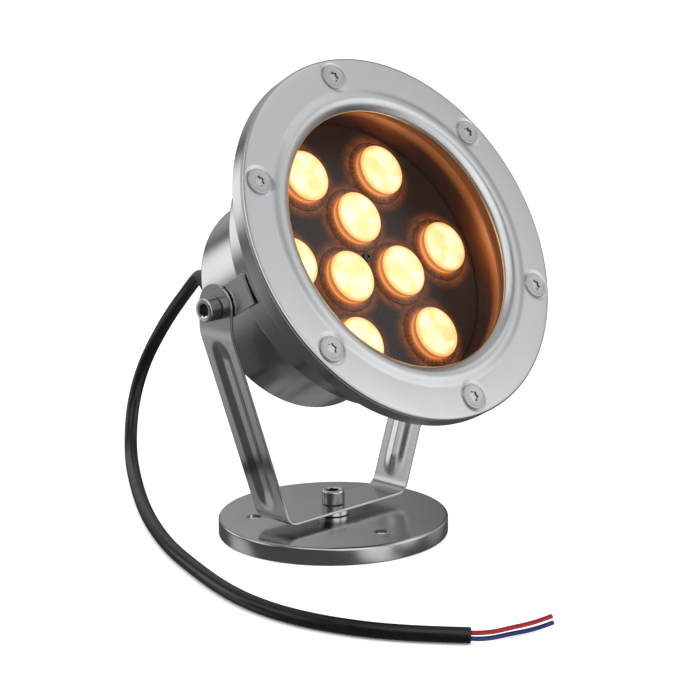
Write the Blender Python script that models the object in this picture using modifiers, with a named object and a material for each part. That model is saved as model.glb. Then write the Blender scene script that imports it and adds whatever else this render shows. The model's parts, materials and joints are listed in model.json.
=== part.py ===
"""Underwater pool light: a round stainless lamp head on a bent yoke, which turns on a pressed disc base.

The origin is on the floor, under the middle of the light's own box. +Z is up and the head looks along -Y,
tilted up. The yoke turns on the base about a vertical bolt, and the head tilts on two bolts in the yoke's arms.
"""

import math

import bmesh
import bpy
import numpy as np
from mathutils import Euler, Vector

MM = 0.001
GAP = 0.3 * MM                     # clearance between pieces that touch

# The frame: where the swivel axis stands, and where the head's tilt axis crosses it
SWIVEL_Y = 14.3 * MM
PIVOT_Z = 110.2 * MM
TILT = math.radians(29.5)          # how far the head looks up at rest
FACE = 51.3 * MM                   # the front ring's face, ahead of the tilt axis
AXIS_RISE = 1.9 * MM               # the head's own axis, above the tilt axis

# Base
BASE_R = 50.5 * MM
BASE_H = 7.7 * MM
BASE_SHEET = 1.5 * MM
FIXING_HOLE_R = 3.25 * MM
FIXING_CIRCLE = 35.0 * MM
FIXING_ANGLES = (22.0, 142.0, 262.0)

# Yoke
YOKE_W = 20.2 * MM
YOKE_SHEET = 1.2 * MM
YOKE_FLOOR = 11.2 * MM             # underside of the flat strip
YOKE_FOOT_X = 35.4 * MM            # outer corner at the foot of each arm
YOKE_ARM_X = 66.4 * MM             # outer face of the upright end of each arm
YOKE_BEND_Z = 99.3 * MM
GROOVE_HALF = 4.6 * MM
GROOVE_DEPTH = 1.3 * MM

# Screws
M6_R = 3.0 * MM
M6_HOLE_R = 3.3 * MM
M6_HEAD_R = 5.0 * MM
M6_HEAD_H = 6.0 * MM
M6_SOCKET_R = 2.9 * MM
M6_NUT_R = 5.77 * MM
M6_NUT_H = 4.7 * MM
M5_R = 2.5 * MM
M5_HOLE_R = 2.8 * MM
M5_HEAD_R = 5.5 * MM
M5_HEAD_H = 1.0 * MM
M5_SEAT = 1.0 * MM                 # how far the ring is sunk under each screw's head
M5_NUT_R = 4.62 * MM

# Head: radii, and depths behind the front ring's face
RING_R = 81.0 * MM
RING_SHEET = 1.5 * MM
WINDOW_R = 57.4 * MM
SCREW_CIRCLE = 73.0 * MM
SCREW_PHASE = 93.3
FLANGE_FRONT = RING_SHEET + GAP
FLANGE_BACK = 8.0 * MM
WALL = 1.5 * MM
POCKET_R = 66.5 * MM
POCKET_FLOOR = 11.6 * MM
GLASS_R = 66.0 * MM
GLASS_FRONT = 4.5 * MM
GLASS_BACK = 10.5 * MM
DRUM_R = 63.2 * MM
DRUM_BACK = 36.3 * MM
CAN_R = 48.8 * MM
CAN_BACK = 78.5 * MM
BOARD_R = 61.2 * MM
BOARD_FRONT = 25.5 * MM
BOARD_BACK = 27.0 * MM
LENS_FRONT = 20.4 * MM
LENS_R = 11.3 * MM
LENS_FOOT_R = 14.5 * MM
OUTER_LEDS = [(43.3 * MM, 56.4 + 60 * k) for k in range(6)]
INNER_LEDS = [(17.1 * MM, 86.2 + 120 * k) for k in range(3)]

# Tilt brackets, flat plates on the drum's sides that reach back to the tilt axis
BRACKET_IN = 63.6 * MM
BRACKET_OUT = 65.0 * MM - GAP
BRACKET_HALF = 6.9 * MM
BRACKET_REACH = 21.2 * MM

# Cable gland on the rear plate, above its centre
GLAND_RISE = 18.0 * MM
GLAND_EXIT = 97.5 * MM
GLAND_BORE = 4.5 * MM
GLAND_HOLE_R = 6.3 * MM

# Cable: outer radius, and the points its centre line passes through, in millimetres
CABLE_R = 3.15 * MM
CABLE_ROUTE = [
    (0.0, 64.6, 104.6), (0.0, 75.7, 98.2), (1.5, 87.9, 93.9), (6.2, 100.0, 94.5), (12.5, 111.1, 96.6),
    (19.4, 122.1, 96.7), (25.2, 132.8, 92.3), (29.0, 143.1, 85.3), (31.6, 153.1, 77.4), (33.3, 162.6, 68.7),
    (34.2, 171.3, 59.1), (33.6, 178.6, 48.4), (31.0, 182.9, 36.4), (26.7, 183.1, 24.2), (21.1, 179.1, 13.2),
    (14.1, 171.2, 6.0), (6.2, 161.2, 3.6), (-1.7, 150.9, 3.3), (-17.1, 130.0, 3.3), (-31.5, 109.6, 3.3),
    (-51.1, 79.4, 3.3), (-63.0, 58.5, 3.3), (-73.6, 37.0, 3.3), (-82.4, 14.7, 3.3), (-90.2, -8.0, 3.3),
    (-95.9, -31.3, 3.3), (-97.2, -55.2, 3.3), (-92.8, -78.8, 3.3), (-83.3, -100.8, 3.3), (-64.6, -126.6, 3.3),
]
CORE_R = 0.9 * MM
RED_ROUTE = [
    (-64.1, -127.4, 4.3), (-58.2, -130.9, 4.0), (-49.2, -132.9, 3.8), (-41.1, -135.7, 4.2), (-31.9, -138.9, 5.6),
]
BLUE_ROUTE = [
    (-64.5, -127.9, 2.2), (-58.6, -130.9, 1.7), (-49.2, -132.8, 1.3), (-40.6, -135.3, 1.3), (-29.3, -137.3, 1.9),
]

STEEL = ("stainless", (0.62, 0.61, 0.60), 1.0, 0.32)
BRIGHT = ("bright_screws", (0.70, 0.70, 0.70), 1.0, 0.18)
RUBBER = ("black_rubber", (0.02, 0.02, 0.02), 0.0, 0.55)
GLASS = ("clear_glass", (0.90, 0.93, 0.92), 0.0, 0.05)
LENS = ("lens_plastic", (1.0, 0.86, 0.62), 0.0, 0.15)
LED = ("led_phosphor", (1.0, 0.80, 0.35), 0.0, 0.40)
BOARD = ("board", (0.03, 0.02, 0.02), 0.0, 0.45)
ALLOY = ("alloy", (0.55, 0.56, 0.58), 1.0, 0.45)
RED = ("red_core", (0.70, 0.03, 0.03), 0.0, 0.40)
BLUE = ("blue_core", (0.03, 0.08, 0.55), 0.0, 0.40)

ALONG_X = (0, math.pi / 2, 0)       # turns a piece made along Z to lie along X


def collection(name):
    made = bpy.data.collections.new(name)
    bpy.context.scene.collection.children.link(made)
    return made


def clear_scene():
    for obj in list(bpy.data.objects):
        bpy.data.objects.remove(obj, do_unlink=True)


clear_scene()
PARTS = collection("pool_light")
CUTTERS = collection("cutters")
CUTTERS.hide_render = True


def finish(look):
    """The Principled material of one finish, made once."""
    label, colour, metallic, roughness = look
    found = bpy.data.materials.get(label)
    if found:
        return found
    made = bpy.data.materials.new(label)
    made.use_nodes = True
    shader = made.node_tree.nodes["Principled BSDF"]
    shader.inputs["Base Color"].default_value = (*colour, 1.0)
    shader.inputs["Metallic"].default_value = metallic
    shader.inputs["Roughness"].default_value = roughness
    made.diffuse_color = (*colour, 1.0)
    return made


def place(obj, parent, location=(0, 0, 0), rotation=(0, 0, 0)):
    obj.parent = parent
    obj.location = location
    obj.rotation_euler = rotation
    return obj


def empty(name, parent=None, location=(0, 0, 0), rotation=(0, 0, 0)):
    made = bpy.data.objects.new(name, None)
    PARTS.objects.link(made)
    return place(made, parent, location, rotation)


def new_object(name, data, group=None):
    made = bpy.data.objects.new(name, data)
    (group or PARTS).objects.link(made)
    return made


def turned(name, profile, look, parent, location=(0, 0, 0), rotation=(0, 0, 0), steps=48, closed=False):
    """A turned piece. The profile is (radius, height) in metres, down its outer side; closed joins its ends."""
    mesh = bpy.data.meshes.new(name)
    count = len(profile)
    edges = [(i, (i + 1) % count) for i in range(count if closed else count - 1)]
    mesh.from_pydata([(r, 0, z) for r, z in profile], edges, [])
    mesh.materials.append(finish(look))
    obj = place(new_object(name, mesh), parent, location, rotation)
    screw = obj.modifiers.new("turn", "SCREW")
    screw.axis = "Z"
    screw.steps = screw.render_steps = steps
    screw.use_merge_vertices = True
    screw.merge_threshold = 0.00005
    screw.use_smooth_shade = True
    return obj


def cylinder_mesh(name, radius, depth, sides, look=None):
    mesh = bpy.data.meshes.new(name)
    bm = bmesh.new()
    bmesh.ops.create_cone(bm, cap_ends=True, segments=sides, radius1=radius, radius2=radius, depth=depth)
    bm.to_mesh(mesh)
    bm.free()
    if look:
        mesh.materials.append(finish(look))
    return mesh


def block_mesh(name, size):
    mesh = bpy.data.meshes.new(name)
    bm = bmesh.new()
    bmesh.ops.create_cube(bm, size=1.0)
    bmesh.ops.scale(bm, vec=size, verts=bm.verts)
    bm.to_mesh(mesh)
    bm.free()
    return mesh


def combine(obj, mesh, operation, parent, location, rotation=(0, 0, 0)):
    """Cuts a mesh out of an object, or joins it on, with an exact Boolean."""
    tool = place(new_object(obj.name + "_tool", mesh, CUTTERS), parent, location, rotation)
    tool.display_type = "WIRE"
    tool.hide_render = True
    step = obj.modifiers.new(operation.lower(), "BOOLEAN")
    step.operation = operation
    step.solver = "EXACT"
    step.object = tool
    return obj


def drill(obj, radius, depth, parent, location, rotation=(0, 0, 0), sides=24):
    mesh = cylinder_mesh("drill", radius, depth, sides)
    return combine(obj, mesh, "DIFFERENCE", parent, location, rotation)


def ring_of(inner, outer, top, bottom):
    """The closed profile of a plain ring."""
    return [(inner, top), (outer, top), (outer, bottom), (inner, bottom)]


def hex_nut(name, across, height, hole, look, parent, location, rotation=(0, 0, 0)):
    mesh = cylinder_mesh(name, across, height, 6, look)
    obj = place(new_object(name, mesh), parent, location, rotation)
    return drill(obj, hole, height * 2, parent, location, rotation)


def cap_screw(name, head_r, head_h, shank_r, length, socket_r, look, parent, location, rotation=(0, 0, 0)):
    """A socket head screw: its head stands on z = 0 and its shank runs down from there."""
    edge = head_h * 0.08
    profile = [
        (0, head_h), (head_r - edge, head_h), (head_r, head_h - edge), (head_r, 0),
        (shank_r, 0), (shank_r, -length + edge), (shank_r - edge, -length), (0, -length),
    ]
    obj = turned(name, profile, look, parent, location, rotation, steps=24)
    tool = cylinder_mesh("socket", socket_r, head_h * 1.1, 6)
    centre = Vector(location) + rotated(rotation, (0, 0, head_h))
    return combine(obj, tool, "DIFFERENCE", parent, centre, rotation)


def rotated(rotation, offset):
    turn = Vector(offset)
    turn.rotate(Euler(rotation))
    return turn


def polar(radius, degrees, z=0.0):
    angle = math.radians(degrees)
    return (radius * math.cos(angle), radius * math.sin(angle), z)


# Base ---------------------------------------------------------------------------------------------------

def base_plate(root):
    """A pressed disc with its rim turned down, three fixing holes and the swivel bolt's hole."""
    floor = BASE_H - BASE_SHEET
    profile = [
        (0, BASE_H), (BASE_R - 1.2 * MM, BASE_H), (BASE_R - 0.4 * MM, BASE_H - 0.4 * MM),
        (BASE_R, BASE_H - 1.3 * MM), (BASE_R, 0), (BASE_R - BASE_SHEET, 0), (BASE_R - BASE_SHEET, floor),
        (0, floor),
    ]
    plate = turned("base_plate", profile, STEEL, root, steps=72)
    for angle in FIXING_ANGLES:
        drill(plate, FIXING_HOLE_R, 4 * BASE_SHEET, root, polar(FIXING_CIRCLE, angle, BASE_H))
    drill(plate, M6_HOLE_R, 4 * BASE_SHEET, root, (0, 0, BASE_H))


def swivel_hardware(root):
    """The bolt that the yoke turns on, the spacer that lifts the strip, and the nut under the disc."""
    strip_top = YOKE_FLOOR + YOKE_SHEET
    cap_screw("swivel_bolt", M6_HEAD_R, M6_HEAD_H, M6_R, strip_top + GAP - 1.0 * MM, M6_SOCKET_R, BRIGHT, root,
              (0, 0, strip_top + GAP))
    spacer = ring_of(M6_HOLE_R, 7.0 * MM, YOKE_FLOOR - GAP, BASE_H + GAP)
    turned("swivel_spacer", spacer, STEEL, root, steps=32, closed=True)
    nut_z = BASE_H - BASE_SHEET - GAP - M6_NUT_H / 2
    hex_nut("swivel_nut", M6_NUT_R, M6_NUT_H, M6_HOLE_R, BRIGHT, root, (0, 0, nut_z))


# Yoke ---------------------------------------------------------------------------------------------------

def rounded_path(corners, radii, steps=6):
    """A polyline of (x, z) points with each inner corner rounded to its radius."""
    path = [np.array(corners[0])]
    for before, corner, after, radius in zip(corners, corners[1:], corners[2:], radii):
        corner = np.array(corner)
        into = (corner - before) / np.linalg.norm(corner - before)
        out = (after - corner) / np.linalg.norm(after - corner)
        half = math.acos(float(np.clip(into @ out, -1, 1))) / 2
        reach = radius * math.tan(half)
        centre = corner + (out - into) / np.linalg.norm(out - into) * radius / math.cos(half)
        start = corner - into * reach - centre
        side = into
        for k in range(steps + 1):
            turn = 2 * half * k / steps
            path.append(centre + start * math.cos(turn) + side * radius * math.sin(turn))
    path.append(np.array(corners[-1]))
    return path


def arm_rows(path, radius):
    """Stations along half the strip: a point, its inward normal, and its half width, which rounds off at the tip."""
    lengths = [0.0]
    for a, b in zip(path, path[1:]):
        lengths.append(lengths[-1] + float(np.linalg.norm(b - a)))
    total = lengths[-1]
    tip = {total - radius * (1 - math.sin(math.radians(a))) for a in range(0, 90, 15)}
    arm_start, arm_end = longest_run(lengths)
    arm = {arm_start + (arm_end - arm_start) * k / 14 for k in range(1, 14)}
    fine = sorted(set(lengths) | tip | arm)
    rows = []
    for s in fine:
        i = min(max(np.searchsorted(lengths, s) - 1, 0), len(path) - 2)
        run = path[i + 1] - path[i]
        point = path[i] + run * (s - lengths[i]) / np.linalg.norm(run)
        direction = run / np.linalg.norm(run)
        past = max(0.0, s - (total - radius)) / radius
        half = radius * math.sqrt(max(1 - past * past, 0.0))
        rows.append((point, np.array([-direction[1], direction[0]]), max(half, 0.02 * radius), s))
    return rows, (arm_start, arm_end)


def longest_run(lengths):
    """Where the strip's longest straight stretch, its splayed arm, starts and ends."""
    return max(zip(lengths, lengths[1:]), key=lambda run: run[1] - run[0])


def yoke(turntable):
    """One bent strip: a flat foot, two splayed arms with a pressed groove, and upright rounded ends."""
    radius = YOKE_W / 2
    top = PIVOT_Z + radius
    corners = [(0, YOKE_FLOOR), (YOKE_FOOT_X, YOKE_FLOOR), (YOKE_ARM_X, YOKE_BEND_Z), (YOKE_ARM_X, top)]
    path = rounded_path([np.array(c) for c in corners], (6 * MM, 14 * MM))
    rows, (arm_start, arm_end) = arm_rows(path, radius)
    across = (-1.0, -0.46, -0.38, -0.2, 0.0, 0.2, 0.38, 0.46, 1.0)
    groove_start, groove_end = arm_start + 2 * MM, arm_end - 1 * MM
    mesh = bpy.data.meshes.new("yoke")
    bm = bmesh.new()
    grid = []
    for point, inward, half, s in rows:
        line = []
        for share in across:
            y = share * half
            sunk = groove_depth(y, s, groove_start, groove_end)
            x, z = point + inward * sunk
            line.append(bm.verts.new((x, y, z)))
        grid.append(line)
    for low, high in zip(grid, grid[1:]):
        for k in range(len(across) - 1):
            bm.faces.new((low[k], low[k + 1], high[k + 1], high[k]))
    bm.to_mesh(mesh)
    bm.free()
    mesh.materials.append(finish(STEEL))
    obj = place(new_object("yoke", mesh), turntable)
    mirror = obj.modifiers.new("both_arms", "MIRROR")
    mirror.use_axis[0] = True
    mirror.merge_threshold = 0.00001
    sheet = obj.modifiers.new("sheet", "SOLIDIFY")
    sheet.thickness = YOKE_SHEET
    sheet.offset = -1.0
    sheet.use_even_offset = True
    drill(obj, M6_HOLE_R, 6 * MM, turntable, (0, 0, YOKE_FLOOR))
    for side in (-1, 1):
        drill(obj, M6_HOLE_R, 8 * MM, turntable, (side * YOKE_ARM_X, 0, PIVOT_Z), ALONG_X)


def groove_depth(y, s, start, end):
    """How far the pressed groove sinks at this place: a round-ended trough with a flat floor."""
    along = min(s - start, end - s)
    if along <= 0:
        return 0.0
    edge = GROOVE_HALF * math.sqrt(min(along / GROOVE_HALF, 1.0))
    reach = max(0.0, 1 - (abs(y) / edge) ** 4) if edge > 0 else 0.0
    return GROOVE_DEPTH * reach


# Tilt joint ---------------------------------------------------------------------------------------------

def tilt_hardware(turntable, head):
    """Each side has a socket head bolt outside the arm, and a bracket and nut inside it."""
    seat = YOKE_ARM_X + GAP
    length = seat - BRACKET_IN + GAP + M6_NUT_H + 1.5 * MM
    for label, side in (("left", -1), ("right", 1)):
        outward = (0, side * math.pi / 2, 0)
        cap_screw("tilt_bolt_" + label, M6_HEAD_R, M6_HEAD_H, M6_R, length, M6_SOCKET_R, BRIGHT, turntable,
                  (side * seat, 0, PIVOT_Z), outward)
        tilt_bracket("tilt_bracket_" + label, side, head)
        nut_x = side * (BRACKET_IN - GAP - M6_NUT_H / 2)
        hex_nut("tilt_nut_" + label, M6_NUT_R, M6_NUT_H, M6_HOLE_R, BRIGHT, head, (nut_x, 0, 0), ALONG_X)


def tilt_bracket(name, side, head):
    """A flat plate from the drum's side back to the tilt axis, where its end is round."""
    outline = [(BRACKET_HALF, BRACKET_REACH), (-BRACKET_HALF, BRACKET_REACH)]
    for k in range(13):
        angle = math.pi + math.pi * k / 12
        outline.append((BRACKET_HALF * math.cos(angle), BRACKET_HALF * math.sin(angle)))
    curve = bpy.data.curves.new(name, "CURVE")
    curve.dimensions = "2D"
    curve.fill_mode = "BOTH"
    curve.extrude = (BRACKET_OUT - BRACKET_IN) / 2
    spline = curve.splines.new("POLY")
    spline.points.add(len(outline) - 1)
    for point, (across, ahead) in zip(spline.points, outline):
        point.co = (-ahead, across, 0, 1)
    spline.use_cyclic_u = True
    flat = new_object(name + "_outline", curve, CUTTERS)
    bpy.context.view_layer.update()
    mesh = bpy.data.meshes.new_from_object(flat)
    bpy.data.objects.remove(flat, do_unlink=True)
    bm = bmesh.new()
    bm.from_mesh(mesh)
    bmesh.ops.remove_doubles(bm, verts=bm.verts, dist=0.00001)
    bm.to_mesh(mesh)
    bm.free()
    mesh.materials.clear()
    mesh.materials.append(finish(STEEL))
    obj = new_object(name, mesh)
    place(obj, head, (side * (BRACKET_IN + BRACKET_OUT) / 2, 0, 0), ALONG_X)
    drill(obj, M6_HOLE_R, 6 * MM, head, (side * BRACKET_IN, 0, 0), ALONG_X)


# Head: every piece hangs on the head axis, with z = -depth behind the ring's face -----------------------

def front_ring(axis):
    """The clamping ring, pressed from sheet: flat, with a soft crest round the window and a lip down to the glass."""
    face = [(58.4, -1.0), (59.8, 0.1), (61.4, 0.65), (63.0, 0.75), (65.0, 0.4), (67.0, 0.0)]
    back = [(60.2, -1.5), (59.6, -2.2), (59.2, -3.4)]
    edge = [(RING_R - 1.0 * MM, 0), (RING_R, -0.7 * MM), (RING_R, -RING_SHEET)]
    lip = [(WINDOW_R, -3.4 * MM), (WINDOW_R, -2.1 * MM)]
    profile = [(r * MM, z * MM) for r, z in face] + edge + [(r * MM, z * MM) for r, z in back] + lip
    ring = turned("front_ring", profile, STEEL, axis, steps=72, closed=True)
    for k in range(6):
        place_at = polar(SCREW_CIRCLE, SCREW_PHASE + 60 * k)
        drill(ring, M5_HOLE_R, 12 * MM, axis, place_at)
        drill(ring, M5_HEAD_R + GAP, 2 * M5_SEAT, axis, place_at)


def ring_screws(axis):
    """Six low socket screws through the ring and the flange, each with its nut behind."""
    nut_h = 3.6 * MM
    nut_z = -FLANGE_FRONT - WALL - GAP - nut_h / 2
    for k in range(6):
        x, y, _ = polar(SCREW_CIRCLE, SCREW_PHASE + 60 * k)
        cap_screw(f"ring_screw_{k + 1}", M5_HEAD_R, M5_HEAD_H, M5_R, 7.5 * MM, 1.8 * MM, BRIGHT, axis,
                  (x, y, GAP - M5_SEAT))
        turn = (0, 0, math.radians(SCREW_PHASE + 60 * k))
        hex_nut(f"ring_nut_{k + 1}", M5_NUT_R, nut_h, M5_HOLE_R, BRIGHT, axis, (x, y, nut_z), turn)


def housing(axis):
    """The drawn shell: a flange with its edge turned back, the glass pocket, the drum and the rear can."""
    pocket_out = POCKET_R + WALL
    corner = 0.8 * MM
    outer = [
        (RING_R, -FLANGE_FRONT), (RING_R, -FLANGE_BACK), (RING_R - WALL, -FLANGE_BACK),
        (RING_R - WALL, -FLANGE_FRONT - WALL), (pocket_out, -FLANGE_FRONT - WALL),
        (pocket_out, -POCKET_FLOOR - WALL), (DRUM_R, -POCKET_FLOOR - WALL), (DRUM_R, -DRUM_BACK + corner),
        (DRUM_R - corner, -DRUM_BACK), (CAN_R, -DRUM_BACK), (CAN_R, -CAN_BACK + corner),
        (CAN_R - corner, -CAN_BACK), (0, -CAN_BACK),
    ]
    inner = [
        (0, -CAN_BACK + WALL), (CAN_R - WALL, -CAN_BACK + WALL), (CAN_R - WALL, -DRUM_BACK + WALL),
        (DRUM_R - WALL, -DRUM_BACK + WALL), (DRUM_R - WALL, -POCKET_FLOOR), (POCKET_R, -POCKET_FLOOR),
        (POCKET_R, -FLANGE_FRONT),
    ]
    shell = turned("housing", outer + inner, STEEL, axis, steps=72, closed=True)
    for k in range(6):
        drill(shell, M5_HOLE_R, 8 * MM, axis, polar(SCREW_CIRCLE, SCREW_PHASE + 60 * k, -FLANGE_FRONT))
    drill(shell, GLAND_HOLE_R, 6 * MM, axis, (0, GLAND_RISE, -CAN_BACK))


def window(axis):
    """The glass disc, between a gasket under the ring and one on the pocket's floor."""
    front = ring_of(60.8 * MM, GLASS_R, -FLANGE_FRONT, -GLASS_FRONT + GAP)
    turned("front_gasket", front, RUBBER, axis, closed=True)
    edge = 0.5 * MM
    disc = [
        (0, -GLASS_FRONT), (GLASS_R - edge, -GLASS_FRONT), (GLASS_R, -GLASS_FRONT - edge),
        (GLASS_R, -GLASS_BACK + edge), (GLASS_R - edge, -GLASS_BACK), (0, -GLASS_BACK),
    ]
    turned("glass", disc, GLASS, axis, steps=72)
    rear = ring_of(62.4 * MM, GLASS_R, -GLASS_BACK - GAP, -POCKET_FLOOR + GAP)
    turned("rear_gasket", rear, RUBBER, axis, closed=True)


def light_engine(axis):
    """The round board on its heat sink, held by a middle screw, with nine emitters, each under a lens."""
    board = turned("led_board", plate_profile(BOARD_R, BOARD_FRONT, BOARD_BACK), BOARD, axis, steps=64)
    sink = turned("heat_sink", plate_profile(CAN_R - 2.8 * MM, BOARD_BACK + GAP, 41.0 * MM), ALLOY, axis)
    for plate in (board, sink):
        drill(plate, 1.5 * MM, 20 * MM, axis, (0, 0, -BOARD_FRONT), sides=16)
    cap_screw("board_screw", 2.1 * MM, 1.6 * MM, 1.2 * MM, 6.0 * MM, 0.8 * MM, BRIGHT, axis,
              (0, 0, -BOARD_FRONT + GAP))
    for number, (radius, angle) in enumerate(OUTER_LEDS + INNER_LEDS, 1):
        spot = polar(radius, angle)
        emitter = plate_profile(4.5 * MM, BOARD_FRONT - 2.4 * MM, BOARD_FRONT - GAP)
        turned(f"led_{number}", emitter, LED, axis, spot, steps=20)
        turned(f"lens_{number}", lens_profile(), LENS, axis, spot, steps=32)


def plate_profile(radius, front, back):
    return [(0, -front), (radius, -front), (radius, -back), (0, -back)]


def lens_profile():
    """A low lens: a slightly domed face, a round wall, a flat foot, and a hollow over the emitter."""
    foot = BOARD_FRONT - GAP
    hollow = foot - 2.6 * MM
    return [
        (0, -LENS_FRONT), (LENS_R - 1.0 * MM, -LENS_FRONT - 0.2 * MM), (LENS_R, -LENS_FRONT - 0.8 * MM),
        (LENS_R, -foot + 0.8 * MM), (LENS_FOOT_R, -foot + 0.8 * MM), (LENS_FOOT_R, -foot), (6.4 * MM, -foot),
        (5.4 * MM, -hollow), (0, -hollow),
    ]


def driver_board(axis):
    """The potted driver's round board, with its transformer and capacitor."""
    board = turned("driver_board", plate_profile(38.0 * MM, 58.0 * MM, 59.6 * MM), BOARD, axis)
    combine(board, block_mesh("transformer", (20 * MM, 16 * MM, 13 * MM)), "UNION", axis, (-9 * MM, 2 * MM, -52 * MM))
    can = cylinder_mesh("capacitor", 5.0 * MM, 12 * MM, 20)
    combine(board, can, "UNION", axis, (17 * MM, -6 * MM, -52.5 * MM))


def cable_gland(axis):
    """A threaded body through the rear plate, its locknut inside, and a cap nut squeezing a rubber seal."""
    at = (0, GLAND_RISE, 0)
    body = [
        (6.0 * MM, -68.0 * MM), (6.0 * MM, -CAN_BACK - GAP), (9.4 * MM, -CAN_BACK - GAP), (9.4 * MM, -83.0 * MM),
        (7.0 * MM, -83.0 * MM), (7.0 * MM, -89.0 * MM), (GLAND_BORE, -89.0 * MM), (GLAND_BORE, -68.0 * MM),
    ]
    turned("gland_body", body, BRIGHT, axis, at, steps=6 * 6, closed=True)
    nut = [
        (9.0 * MM, -83.3 * MM), (9.0 * MM, -92.0 * MM), (7.6 * MM, -96.0 * MM), (6.2 * MM, -GLAND_EXIT),
        (GLAND_BORE + GAP, -GLAND_EXIT), (GLAND_BORE + GAP, -89.3 * MM), (7.3 * MM, -89.3 * MM), (7.3 * MM, -83.3 * MM),
    ]
    turned("gland_nut", nut, BRIGHT, axis, at, steps=6 * 6, closed=True)
    turned("gland_seal", plate_profile(GLAND_BORE, 89.4 * MM, GLAND_EXIT - GAP), RUBBER, axis, at, steps=24)
    hex_nut("gland_locknut", 10.0 * MM, 3.0 * MM, GLAND_HOLE_R, BRIGHT, axis,
            (0, GLAND_RISE, -CAN_BACK + WALL + GAP + 1.5 * MM))


# Cable --------------------------------------------------------------------------------------------------

def smooth_route(points, spacing):
    """Points a spacing apart on the natural cubic spline through the route's own points."""
    points = np.array(points)
    knots = np.concatenate([[0.0], np.cumsum(np.linalg.norm(np.diff(points, axis=0), axis=1))])
    gaps = np.diff(knots)
    size = len(points)
    matrix = np.eye(size)
    right = np.zeros((size, 3))
    for i in range(1, size - 1):
        matrix[i, i - 1:i + 2] = gaps[i - 1], 2 * (gaps[i - 1] + gaps[i]), gaps[i]
        slopes = np.diff(points[i - 1:i + 2], axis=0) / gaps[i - 1:i + 1, None]
        right[i] = 6 * (slopes[1] - slopes[0])
    bend = np.linalg.solve(matrix, right)
    count = max(2, round(knots[-1] / spacing))
    made = []
    for s in np.linspace(0, knots[-1], count + 1):
        i = min(int(np.searchsorted(knots, s, side="right")) - 1, size - 2)
        h, a, b = gaps[i], (knots[i + 1] - s) / gaps[i], (s - knots[i]) / gaps[i]
        cubic = ((a**3 - a) * bend[i] + (b**3 - b) * bend[i + 1]) * h * h / 6
        made.append(a * points[i] + b * points[i + 1] + cubic)
    return made


def tube(name, route, radius, look, parent, sides=2):
    """A round cord along a route given in millimetres."""
    points = smooth_route([[c * MM for c in p] for p in route], 5 * radius)
    curve = bpy.data.curves.new(name, "CURVE")
    curve.dimensions = "3D"
    curve.bevel_depth = radius
    curve.bevel_resolution = sides
    curve.use_fill_caps = True
    spline = curve.splines.new("POLY")
    spline.points.add(len(points) - 1)
    for point, place_at in zip(spline.points, points):
        point.co = (*(Vector(place_at) - parent.matrix_world.translation), 1)
    curve.materials.append(finish(look))
    return place(new_object(name, curve), parent)


def supply_cable(turntable):
    tube("supply_cable", CABLE_ROUTE, CABLE_R, RUBBER, turntable, sides=3)
    tube("red_core", RED_ROUTE, CORE_R, RED, turntable)
    tube("blue_core", BLUE_ROUTE, CORE_R, BLUE, turntable)


def main():
    root = empty("base_origin", location=(0, SWIVEL_Y, 0))
    turntable = empty("swivel_axis", root)
    head = empty("tilt_axis", turntable, (0, 0, PIVOT_Z), (math.pi / 2 - TILT, 0, 0))
    axis = empty("head_axis", head, (0, AXIS_RISE, FACE))
    bpy.context.view_layer.update()
    base_plate(root)
    swivel_hardware(root)
    yoke(turntable)
    tilt_hardware(turntable, head)
    front_ring(axis)
    ring_screws(axis)
    window(axis)
    housing(axis)
    light_engine(axis)
    driver_board(axis)
    cable_gland(axis)
    supply_cable(turntable)


main()
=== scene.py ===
"""Looks of the underwater pool light: its pieces in detail, their materials, and the studio round it.

Everything is in metres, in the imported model's frame: the floor is z = 0, the head looks along -Y and up, and the
swivel and tilt joints give the two axes. Sizes below are in millimetres times MM.
"""

import json
import math

import bmesh
import bpy
import numpy as np
from mathutils import Matrix, Vector


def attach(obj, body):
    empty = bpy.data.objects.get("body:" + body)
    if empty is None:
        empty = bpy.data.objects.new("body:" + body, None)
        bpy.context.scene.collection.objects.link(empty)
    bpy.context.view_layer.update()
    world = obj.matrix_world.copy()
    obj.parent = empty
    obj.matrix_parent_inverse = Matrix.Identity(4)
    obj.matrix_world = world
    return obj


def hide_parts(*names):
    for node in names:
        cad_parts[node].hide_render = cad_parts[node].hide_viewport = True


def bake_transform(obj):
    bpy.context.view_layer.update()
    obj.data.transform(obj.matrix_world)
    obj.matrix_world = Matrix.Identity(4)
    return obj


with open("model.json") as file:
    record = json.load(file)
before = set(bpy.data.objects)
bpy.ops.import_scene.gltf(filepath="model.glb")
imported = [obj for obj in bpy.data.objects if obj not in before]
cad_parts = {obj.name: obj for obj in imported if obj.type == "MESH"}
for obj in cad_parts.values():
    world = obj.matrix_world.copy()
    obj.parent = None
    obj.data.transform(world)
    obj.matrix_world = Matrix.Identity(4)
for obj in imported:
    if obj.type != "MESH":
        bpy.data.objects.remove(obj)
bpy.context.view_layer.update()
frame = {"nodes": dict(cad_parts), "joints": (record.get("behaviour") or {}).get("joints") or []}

MM = 0.001
JOINTS = {joint["name"]: joint for joint in frame["joints"]}
PIVOT = Vector(JOINTS["tilt"]["pos_m"])
SWIVEL = Vector((PIVOT.x, PIVOT.y, 0))
TILT = math.radians(29.5)          # how far the head looks up at rest
FACE = 51.3 * MM                   # the front ring's face, ahead of the tilt axis
AXIS_RISE = 1.9 * MM               # the head's own axis, above the tilt axis

# The head's own frame: z runs out of the window, so a depth behind the ring's face is -z
TILTED = Matrix.Translation(PIVOT) @ Matrix.Rotation(math.pi / 2 - TILT, 4, "X")
HEAD = TILTED @ Matrix.Translation((0, AXIS_RISE, FACE))
BASE = Matrix.Translation(SWIVEL)

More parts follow.
